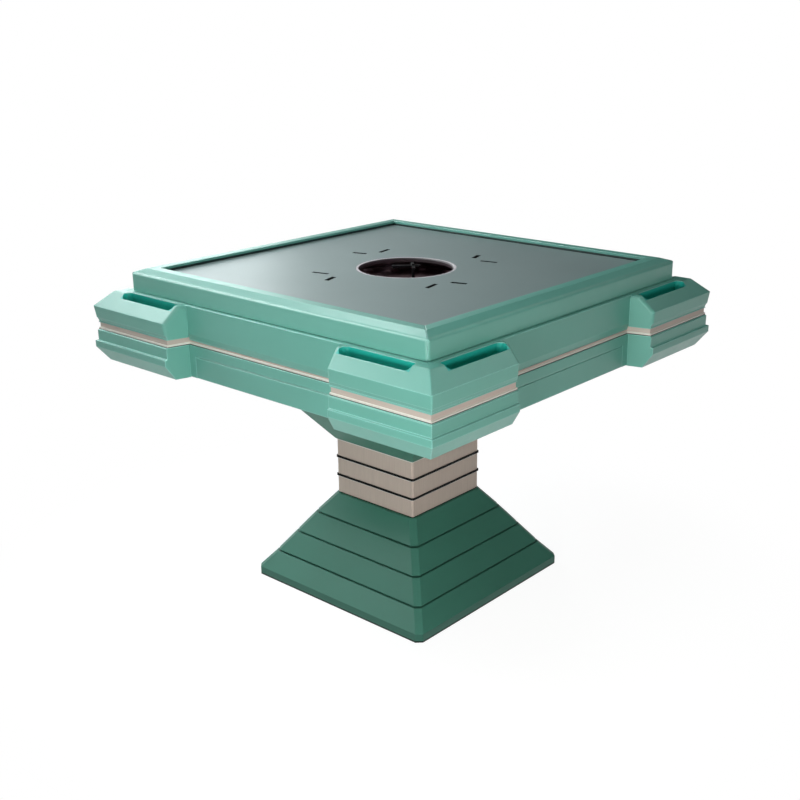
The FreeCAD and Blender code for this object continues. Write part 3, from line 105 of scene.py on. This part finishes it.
# lamps: name, place, target, width, height, power in watts, colour
LAMPS = [
    ("near_left", (0.8, -1.65, 0.66), (0.45, -0.5, 0.60), 0.5, 0.4, 9.6, (1.0, 1.0, 0.98)),
    ("near_right", (1.7, -0.7, 0.76), (0.5, -0.4, 0.60), 0.5, 0.4, 5.6, (1.0, 0.93, 0.89)),
    ("window", (-3.4, 1.6, 1.7), (0.0, 0.0, 0.75), 1.6, 1.4, 26.0, (0.90, 0.99, 1.0)),
    ("left_high", (-2.0, -0.6, 2.2), (-0.4, -0.4, 0.7), 1.0, 1.0, 35.0, (0.90, 0.99, 1.0)),
    ("over_front", (0.35, -0.95, 1.75), (0.35, -0.5, 0.75), 0.5, 0.5, 4.2, (0.94, 1.0, 1.0)),
    ("over_well", (-0.25, -0.05, 1.45), (-0.2, 0.0, 0.7), 0.3, 0.3, 0.8, (0.90, 0.97, 1.0)),
    ("back", (1.05, 1.6, 2.4), (0.0, 0.0, 0.7), 1.2, 1.2, 7.0, (1.0, 1.0, 1.0)),
]

# lamps that only reflections find: they draw pale lines along the smoother edges
GLINTS = [
    ("glint_left", (-1.4, -1.5, 1.9), (-1.4, -0.5, 0.7), 1.9, 0.25, 60.0, (0.92, 1.0, 1.0)),
    ("glint_top", (-1.0, 0.2, 2.2), (0.2, -0.4, 0.8), 0.60, 0.45, 9.0, (0.92, 1.0, 1.0)),
    ("glint_corner", (0.87, -0.77, 1.9), (0.5, -0.5, 0.7), 0.25, 0.25, 4.0, (1.0, 1.0, 1.0)),
]

# colours, as linear albedo
WHITE = (1.0, 1.0, 1.0)
MINT = (0.175, 0.520, 0.430)
MINT_SHADE = (0.155, 0.475, 0.390)
# painted highlight: the paler colour laid on rounded edges
MINT_EDGE_HIGHLIGHT = (0.330, 0.740, 0.660)
# painted shade: the deeper, more saturated green inside the pockets
POCKET_SHADE_GREEN = (0.020, 0.520, 0.430)
# darker band along the foot of the rim's inner wall, next to the mat
WALL_FOOT_DARK = (0.008, 0.035, 0.029)
FOOT_GREEN = (0.080, 0.282, 0.212)
FOOT_SHADE = (0.072, 0.245, 0.182)
# painted shade in the grooves between the foot's tiers
GROOVE_SHADE = (0.040, 0.150, 0.112)
# painted shade on the foot's bottom band
FOOT_BAND_SHADE = (0.058, 0.200, 0.150)
FOOT_LINE = (0.012, 0.036, 0.028)
BEIGE = (0.720, 0.600, 0.520)
BEIGE_SHADE = (0.660, 0.545, 0.475)
# painted highlight along the sleeves' upper edges
BEIGE_HIGHLIGHT = (0.940, 0.900, 0.850)
PINK = (0.680, 0.590, 0.520)
PINK_SHADE = (0.630, 0.540, 0.475)
# painted highlight on the trim strip's foot
TRIM_FOOT_HIGHLIGHT = (0.880, 0.850, 0.780)
# painted shadow along the bottom of the trim strip
TRIM_SHADOW = (0.020, 0.045, 0.038)
MAT = (0.264, 0.350, 0.348)
MAT_SHADE = (0.235, 0.314, 0.313)
# painted shade on the walls of the mat's slots
SLOT_SHADE = (0.004, 0.010, 0.010)
LIP = (0.800, 0.740, 0.770)
LIP_SHADE = (0.720, 0.660, 0.690)
PLUM = (0.050, 0.030, 0.038)
MAUVE = (0.340, 0.215, 0.250)
MAUVE_SHADE = (0.270, 0.165, 0.195)
BROWN = (0.580, 0.370, 0.410)
BROWN_SHADE = (0.480, 0.300, 0.335)
BLACK = (0.012, 0.012, 0.012)
BLACK_SHADE = (0.008, 0.008, 0.008)
GREY = (0.115, 0.150, 0.140)
GREY_SHADE = (0.090, 0.120, 0.112)
WOOD = (0.018, 0.015, 0.013)
WOOD_SHADE = (0.010, 0.009, 0.008)
STEEL = (0.018, 0.018, 0.020)
STEEL_SHADE = (0.010, 0.010, 0.011)
ZINC = (0.620, 0.620, 0.640)
ZINC_SHADE = (0.500, 0.500, 0.520)
RUBBER = (0.022, 0.022, 0.022)
RUBBER_SHADE = (0.012, 0.012, 0.012)

# noise lies mostly between these values. Every noise is given as scale and detail,
# every bump as depth and strength.
NOISE_SPAN = (0.3, 0.7)
NOISE_ROUGHNESS = 0.55

# moulded plastics: colour, shade, roughness, radius of the soft edges, scale of the grain
PLASTICS = {
    "mint_plastic": (MINT, MINT_SHADE, 0.36, 0.0032, 900.0),
    "rim_plastic": (MINT, MINT_SHADE, 0.42, 0.0028, 900.0),
    "foot_plastic": (FOOT_GREEN, FOOT_SHADE, 0.46, 0.0012, 700.0),
    "black_plastic": (BLACK, BLACK_SHADE, 0.50, 0.0008, 900.0),
    "collar_plastic": (LIP, LIP_SHADE, 0.50, 0.0006, 900.0),
    "drum_plastic": (MAUVE, MAUVE_SHADE, 0.50, 0.0022, 900.0),
    "turntable_plastic": (BROWN, BROWN_SHADE, 0.36, 0.0012, 900.0),
    "drawer_plastic": (GREY, GREY_SHADE, 0.50, 0.0022, 900.0),
}
GRAIN_DETAIL = 2.0
GRAIN_BUMP = (0.00003, 0.5)

# wide patches from shade to colour, and patches smoother and rougher than the plastic
MOTTLE = (2.2, 3.0)
SMUDGE = (35.0, 5.0)
SMUDGE_SPREAD = (-0.04, 0.05)

# brushed plastics: colour, shade, noise, its stretch, roughness, bump
BRUSHED = {
    "beige_plastic": (
        BEIGE, BEIGE_SHADE, (260.0, 4.0), (1.0, 1.0, 0.06), (0.42, 0.52), (0.00004, 0.5),
    ),
    "cream_strip": (
        PINK, PINK_SHADE, (420.0, 4.0), (0.05, 0.05, 1.0), (0.36, 0.48), (0.00003, 0.4),
    ),
}
BEIGE_SOFTNESS = 0.001

# materials of one fine grain: colour, shade, noise, span of it that colours, roughness
GRAINED = {
    "board_wood": (WOOD, WOOD_SHADE, (500.0, 6.0), NOISE_SPAN, (0.70, 0.85)),
    "black_steel": (STEEL, STEEL_SHADE, (1200.0, 3.0), (0.0, 1.0), (0.42, 0.60)),
    "zinc_steel": (ZINC, ZINC_SHADE, (60.0, 3.0), (0.0, 1.0), (0.28, 0.42)),
    "belt_rubber": (RUBBER, RUBBER_SHADE, (800.0, 3.0), (0.0, 1.0), (0.65, 0.80)),
}
GRAINED_BUMP = {
    "board_wood": (0.0001, 0.5),
    "black_steel": (0.00006, 0.6),
    "belt_rubber": (0.00005, 0.5),
}

# playing cloth. SLOT_WALL holds the upward share of a face's normal at which the
# slots' painted shade starts and at which it is full.
PILE = (1500.0, 3.0)
PILE_BUMP = (0.00006, 0.35)
PILE_ROUGH = (0.34, 0.44)
CLOTH_MOTTLE = (3.0, 4.0)
CLOTH_SOFTNESS = 0.0008
SLOT_WALL = (0.8, 0.5)


# ----------------------------------------------------------------- node helpers

class Tree:
    """A node tree, with short ways to add and link nodes."""

    def __init__(self, tree):
        self.tree = tree

    def feed(self, socket, value):
        """Link a socket to another one, or give it a plain value or a colour."""
        if isinstance(value, bpy.types.NodeSocket):
            self.tree.links.new(value, socket)
        elif socket.type == "RGBA":
            socket.default_value = (*value, 1.0)
        else:
            socket.default_value = value

    def node(self, kind, inputs=None, **settings):
        made = self.tree.nodes.new(kind)
        for key, value in settings.items():
            setattr(made, key, value)
        for key, value in (inputs or {}).items():
            self.feed(made.inputs[key], value)
        return made

    def remap(self, source, low, high, to_low=0.0, to_high=1.0, kind="LINEAR"):
        ends = {"From Min": low, "From Max": high, "To Min": to_low, "To Max": to_high}
        made = self.node("ShaderNodeMapRange", {"Value": source, **ends}, interpolation_type=kind)
        return made.outputs["Result"]

    def mix(self, factor, first, second, kind="RGBA"):
        inputs = {"Factor": factor, "A": first, "B": second}
        return self.node("ShaderNodeMix", inputs, data_type=kind).outputs["Result"]

    def maths(self, operation, first, second=0.0):
        return self.node("ShaderNodeMath", {0: first, 1: second}, operation=operation).outputs[0]

    def dot(self, first, second):
        made = self.node("ShaderNodeVectorMath", {0: first, 1: second}, operation="DOT_PRODUCT")
        return made.outputs["Value"]

    def split(self, vector):
        return self.node("ShaderNodeSeparateXYZ", {0: vector}).outputs

    def below(self, value, level, fade):
        """1 where the value is under the level, fading out over it."""
        return self.remap(value, level, level + fade, 1.0, 0.0)

    def between(self, value, low, high, blur=BLUR):
        """1 where the value lies from low to high, fading over blur on both sides."""
        rise = self.remap(value, low - blur, low + blur)
        fall = self.remap(value, high - blur, high + blur, 1.0, 0.0)
        return self.maths("MULTIPLY", rise, fall)


class Recipe(Tree):
    """Builds one procedural material around a Principled shader."""

    def __init__(self, name):
        self.material = bpy.data.materials.new(name)
        self.material.use_nodes = True
        super().__init__(self.material.node_tree)
        self.shader = self.tree.nodes["Principled BSDF"]
        self.place = self.node("ShaderNodeTexCoord").outputs["Object"]
        self.normal = None

    def set(self, **values):
        for key, value in values.items():
            self.shader.inputs[key.replace("_", " ")].default_value = value

    def noise(self, scale, detail, stretch=None):
        """Noise in object space, with stretch squeezing it along some axes."""
        place = self.place
        if stretch:
            mapping = self.node("ShaderNodeMapping", {"Vector": place, "Scale": stretch})
            place = mapping.outputs["Vector"]
        inputs = {"Vector": place, "Scale": scale, "Detail": detail, "Roughness": NOISE_ROUGHNESS}
        return self.node("ShaderNodeTexNoise", inputs).outputs["Fac"]

    def spans(self):
        """Distance from the middle along the wider and the narrower axis, and height."""
        split = self.split(self.place)
        across = self.maths("ABSOLUTE", split["X"])
        along = self.maths("ABSOLUTE", split["Y"])
        wide = self.maths("MAXIMUM", across, along)
        narrow = self.maths("MINIMUM", across, along)
        return wide, narrow, split["Z"]

    def colour(self, source):
        self.feed(self.shader.inputs["Base Color"], source)

    def overlay(self, mask, colour):
        """Lay another colour over the base colour where the mask is 1."""
        base = self.shader.inputs["Base Color"].links[0].from_socket
        self.colour(self.mix(mask, base, colour))

    def rough(self, source, low, high):
        self.feed(self.shader.inputs["Roughness"], self.remap(source, *NOISE_SPAN, low, high))

    def shape(self, normal):
        self.normal = normal
        self.feed(self.shader.inputs["Normal"], normal)

    def bump(self, source, depth, strength):
        inputs = {"Strength": strength, "Distance": depth, "Height": source}
        made = self.node("ShaderNodeBump", inputs)
        if self.normal is not None:
            self.feed(made.inputs["Normal"], self.normal)
        self.shape(made.outputs["Normal"])

    def soft_edges(self, radius):
        """Rounds the shading of sharp edges by a small radius."""
        made = self.node("ShaderNodeBevel", {"Radius": radius}, samples=EDGE_SAMPLES)
        self.shape(made.outputs["Normal"])

    def smooth_and_highlight_edges(self, colour):
        """Edges that soft_edges rounds are smoother than the faces, and painted paler as a
        highlight.
        """
        bevel = next(node for node in self.tree.nodes if node.bl_idname == "ShaderNodeBevel")
        flat = self.node("ShaderNodeNewGeometry").outputs["True Normal"]
        mask = self.remap(self.dot(bevel.outputs["Normal"], flat), *EDGE_TURN)
        self.overlay(mask, colour)
        socket = self.shader.inputs["Roughness"]
        faces = socket.links[0].from_socket
        self.feed(socket, self.mix(mask, faces, EDGE_ROUGH, "FLOAT"))


# -------------------------------------------------------------------- materials

def moulded(name):
    """Satin moulded plastic: slight mottling, fine grain and soft edges."""
    colour, shade, rough, softness, grain = PLASTICS[name]
    recipe = Recipe(name)
    recipe.soft_edges(softness)
    wide = recipe.remap(recipe.noise(*MOTTLE), *NOISE_SPAN)
    recipe.colour(recipe.mix(wide, shade, colour))
    smoother, rougher = SMUDGE_SPREAD
    recipe.rough(recipe.noise(*SMUDGE), rough + smoother, rough + rougher)
    recipe.bump(recipe.noise(grain, GRAIN_DETAIL), *GRAIN_BUMP)
    return recipe


def mint_plastic():
    """The body's plastic, with painted edge highlights, and a deeper green painted into the
    pockets as their shade.
    """
    recipe = moulded("mint_plastic")
    recipe.smooth_and_highlight_edges(MINT_EDGE_HIGHLIGHT)
    recipe.set(Coat_Weight=0.10, Coat_Roughness=0.25, IOR=1.42)
    wide, narrow, height = recipe.spans()
    (x_low, y_low, _), (x_high, y_high, _) = POCKET
    pocket_shade = recipe.maths(
        "MULTIPLY",
        recipe.between(wide, x_low - POCKET_SLACK, x_high + POCKET_SLACK),
        recipe.between(narrow, y_low - POCKET_END, y_high + POCKET_END),
    )
    pocket_shade = recipe.maths("MULTIPLY", pocket_shade, recipe.below(height, *POCKET_LIP))
    recipe.overlay(pocket_shade, POCKET_SHADE_GREEN)
    return recipe


def rim_plastic():
    """The rim's plastic, with painted edge highlights, darker along the foot of its inner wall
    next to the mat.
    """
    recipe = moulded("rim_plastic")
    recipe.smooth_and_highlight_edges(MINT_EDGE_HIGHLIGHT)
    recipe.set(Coat_Weight=0.20, Coat_Roughness=0.30, IOR=1.48)
    wide, _, height = recipe.spans()
    side = recipe.below(wide, *WALL_FOOT_SIDE)
    wall_foot = recipe.maths("MULTIPLY", side, recipe.below(height, *WALL_FOOT_LINE))
    recipe.overlay(wall_foot, WALL_FOOT_DARK)
    return recipe


def foot_plastic():
    """Darker green plastic; painted shade darkens the grooves between the tiers and the bottom
    band, which is darker still along its lowest edge.
    """
    recipe = moulded("foot_plastic")
    recipe.set(Specular_IOR_Level=0.25)
    wide, _, height = recipe.spans()
    recipe.overlay(recipe.below(height, *FOOT_BAND), FOOT_BAND_SHADE)
    recipe.overlay(recipe.below(height, *FOOT_BOTTOM), FOOT_LINE)
    for groove, half in GROOVES:
        bottom = groove - GROOVE_SINK
        level = recipe.between(height, bottom, bottom + GROOVE_HEIGHT, GROOVE_BLUR)
        inside = recipe.below(wide, half + GROOVE_REACH, GROOVE_FADE)
        recipe.overlay(recipe.maths("MULTIPLY", level, inside), GROOVE_SHADE)
    return recipe


def black_plastic():
    recipe = moulded("black_plastic")
    recipe.set(Specular_IOR_Level=0.08)
    return recipe


def collar_plastic():
    """The well's collar: a pale lip, dark plum inside."""
    recipe = moulded("collar_plastic")
    recipe.overlay(recipe.below(recipe.spans()[2], *COLLAR_LINE), PLUM)
    return recipe


def brushed(name, softness=None):
    colour, shade, noise, stretch, rough, bump = BRUSHED[name]
    recipe = Recipe(name)
    if softness:
        recipe.soft_edges(softness)
    lines = recipe.noise(*noise, stretch)
    recipe.colour(recipe.mix(recipe.remap(lines, *NOISE_SPAN), shade, colour))
    recipe.rough(lines, *rough)
    recipe.bump(lines, *bump)
    return recipe


def beige_plastic():
    """Brushed beige sleeves, with a painted highlight along their upper edges."""
    recipe = brushed("beige_plastic", BEIGE_SOFTNESS)
    height = recipe.spans()[2]
    for part in ("lower", "middle", "upper"):
        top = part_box("column_sleeve_" + part)[1][2]
        edge = recipe.between(height, top - SLEEVE_HIGHLIGHT, top + SLEEVE_HIGHLIGHT_PAST, SLEEVE_HIGHLIGHT_BLUR)
        recipe.overlay(edge, BEIGE_HIGHLIGHT)
    return recipe


def cream_strip():
    """Pale inlay: a pinkish face over a foot painted whiter as a highlight, and a painted shadow
    line under it.
    """
    recipe = brushed("cream_strip")
    height = recipe.spans()[2]
    recipe.overlay(recipe.below(height, *TRIM_FOOT), TRIM_FOOT_HIGHLIGHT)
    recipe.overlay(recipe.below(height, *TRIM_SHADOW_LINE), TRIM_SHADOW)
    return recipe


def mat_cloth():
    """Short-pile playing cloth with a satin sheen; its slots' walls are painted black as their
    shade.
    """
    recipe = Recipe("mat_cloth")
    recipe.soft_edges(CLOTH_SOFTNESS)
    wide = recipe.remap(recipe.noise(*CLOTH_MOTTLE), *NOISE_SPAN)
    recipe.colour(recipe.mix(wide, MAT_SHADE, MAT))
    upright = recipe.split(recipe.node("ShaderNodeNewGeometry").outputs["True Normal"])["Z"]
    recipe.overlay(recipe.remap(upright, *SLOT_WALL), SLOT_SHADE)
    pile = recipe.noise(*PILE)
    recipe.rough(pile, *PILE_ROUGH)
    recipe.bump(pile, *PILE_BUMP)
    recipe.set(Sheen_Weight=0.15, Sheen_Roughness=0.4, IOR=1.45)
    return recipe


def grained(name, metallic=0.0):
    colour, shade, noise, span, rough = GRAINED[name]
    recipe = Recipe(name)
    grain = recipe.noise(*noise)
    recipe.colour(recipe.mix(recipe.remap(grain, *span), shade, colour))
    recipe.rough(grain, *rough)
    if name in GRAINED_BUMP:
        recipe.bump(grain, *GRAINED_BUMP[name])
    recipe.set(Metallic=metallic)
    return recipe


# material slots of the record, and one look that only the rim has
RECIPES = {
    "mint_gloss": mint_plastic(),
    "rim_plastic": rim_plastic(),
    "green_foot": foot_plastic(),
    "beige_sleeve": beige_plastic(),
    "cream_trim": cream_strip(),
    "black_trim": black_plastic(),
    "mat_cloth": mat_cloth(),
    "board_wood": grained("board_wood"),
    "collar_plastic": collar_plastic(),
    "drum_plastic": moulded("drum_plastic"),
    "turntable_plastic": moulded("turntable_plastic"),
    "frame_steel": grained("black_steel"),
    "zinc_steel": grained("zinc_steel", metallic=1.0),
    "belt_rubber": grained("belt_rubber"),
    "drawer_plastic": moulded("drawer_plastic"),
}

# nodes whose look differs from the rest of their material slot, by how their name starts
SPECIAL = {"rim_rail": "rim_plastic", "lift_post": "black_trim"}


def look_of(entry):
    for start, slot in SPECIAL.items():
        if entry["node"].startswith(start):
            return RECIPES[slot].material
    return RECIPES[entry["material_slot"]].material


def dress_nodes():
    """Give every CAD node the material of its slot."""
    for entry in frame["record"]["subparts"]:
        materials = NODES[entry["node"]].data.materials
        materials.clear()
        materials.append(look_of(entry))


# ------------------------------------------------------------------ stage, light

def make_camera():
    data = bpy.data.cameras.new("camera")
    data.lens = CAMERA_LENS
    data.sensor_width = CAMERA_SENSOR
    data.shift_x = CAMERA_SHIFT_X
    data.clip_end = CAMERA_REACH
    camera = bpy.data.objects.new("camera", data)
    bpy.context.scene.collection.objects.link(camera)
    forward = (CAMERA_TARGET - CAMERA_PLACE).normalized()
    level = forward.cross(Vector((0, 0, 1))).normalized()
    upright = level.cross(forward)
    right = level * math.cos(CAMERA_ROLL) + upright * math.sin(CAMERA_ROLL)
    up = upright * math.cos(CAMERA_ROLL) - level * math.sin(CAMERA_ROLL)
    turn = Matrix((right, up, -forward)).transposed().to_4x4()
    camera.matrix_world = Matrix.Translation(CAMERA_PLACE) @ turn
    bpy.context.scene.camera = camera


def backdrop_rays(tree, *kinds):
    """1 for camera rays and the other kinds of ray that see the white backdrop."""
    path = tree.node("ShaderNodeLightPath").outputs
    total = path["Is Camera Ray"]
    for kind in kinds:
        total = tree.maths("MAXIMUM", total, path[kind])
    return total


def floor_material():
    """Near the table, part of the white glows and the rest keeps the shadow.

    Rays that see the backdrop find that white, and light meets a real grey floor.
    """
    material = bpy.data.materials.new("floor")
    material.use_nodes = True
    tree = Tree(material.node_tree)
    tree.tree.nodes.clear()

    def shader(kind, inputs):
        return tree.node("ShaderNode" + kind, inputs).outputs[0]

    real = shader("BsdfDiffuse", {"Color": FLOOR_COLOUR})
    glow = shader("Emission", {"Color": WHITE, "Strength": FLOOR_GLOW})
    shadow = shader("BsdfDiffuse", {"Color": SHADOW_COLOUR})
    near = shader("AddShader", {0: glow, 1: shadow})
    far = shader("Emission", {"Color": WHITE, "Strength": 1.0})
    place = tree.node("ShaderNodeTexCoord").outputs["Object"]
    reach = tree.node("ShaderNodeVectorMath", {0: place}, operation="LENGTH").outputs["Value"]
    fade = tree.remap(reach, *SHADOW_REACH, kind="SMOOTHSTEP")
    white = shader("MixShader", {"Fac": fade, 1: near, 2: far})
    seen = backdrop_rays(tree, "Is Glossy Ray", "Is Transmission Ray")
    choice = shader("MixShader", {"Fac": seen, 1: real, 2: white})
    tree.node("ShaderNodeOutputMaterial", {"Surface": choice})
    return material


def make_floor():
    mesh = bpy.data.meshes.new("floor")
    half = FLOOR_SIZE / 2
    corners = [(-half, -half, 0), (half, -half, 0), (half, half, 0), (-half, half, 0)]
    mesh.from_pydata(corners, [], [(0, 1, 2, 3)])
    mesh.materials.append(floor_material())
    floor = bpy.data.objects.new("floor", mesh)
    bpy.context.scene.collection.objects.link(floor)


def area_light(name, place, target, width, height, power, colour):
    data = bpy.data.lights.new(name, "AREA")
    data.shape = "RECTANGLE"
    data.size = width
    data.size_y = height
    data.energy = power
    data.color = colour
    light = bpy.data.objects.new(name, data)
    bpy.context.scene.collection.objects.link(light)
    light.location = place
    light.rotation_euler = (Vector(target) - Vector(place)).to_track_quat("-Z", "Y").to_euler()
    light.visible_camera = False
    return light


def make_world():
    """White backdrop for camera rays, and a dim even light for the rest.

    Reflections find a dark room with one bright window at the back left.
    """
    world = bpy.data.worlds.new("world")
    bpy.context.scene.world = world
    world.use_nodes = True
    tree = Tree(world.node_tree)
    direction = tree.node("ShaderNodeTexCoord").outputs["Generated"]
    window = tree.remap(tree.dot(direction, WINDOW_SIDE), *WINDOW_FADE, kind="SMOOTHSTEP")
    glossy = tree.node("ShaderNodeLightPath").outputs["Is Glossy Ray"]
    room = tree.mix(glossy, AMBIENT, window)
    seen = backdrop_rays(tree, "Is Transmission Ray")
    background = tree.tree.nodes["Background"]
    background.inputs["Strength"].default_value = 1.0
    tree.feed(background.inputs["Color"], tree.mix(seen, room, WHITE))


def make_lights():
    for lamp in LAMPS:
        area_light(*lamp)
    for glint in GLINTS:
        area_light(*glint).visible_diffuse = False


dress_nodes()
make_camera()
make_floor()
make_world()
make_lights()
bpy.context.scene.view_settings.view_transform = "Standard"
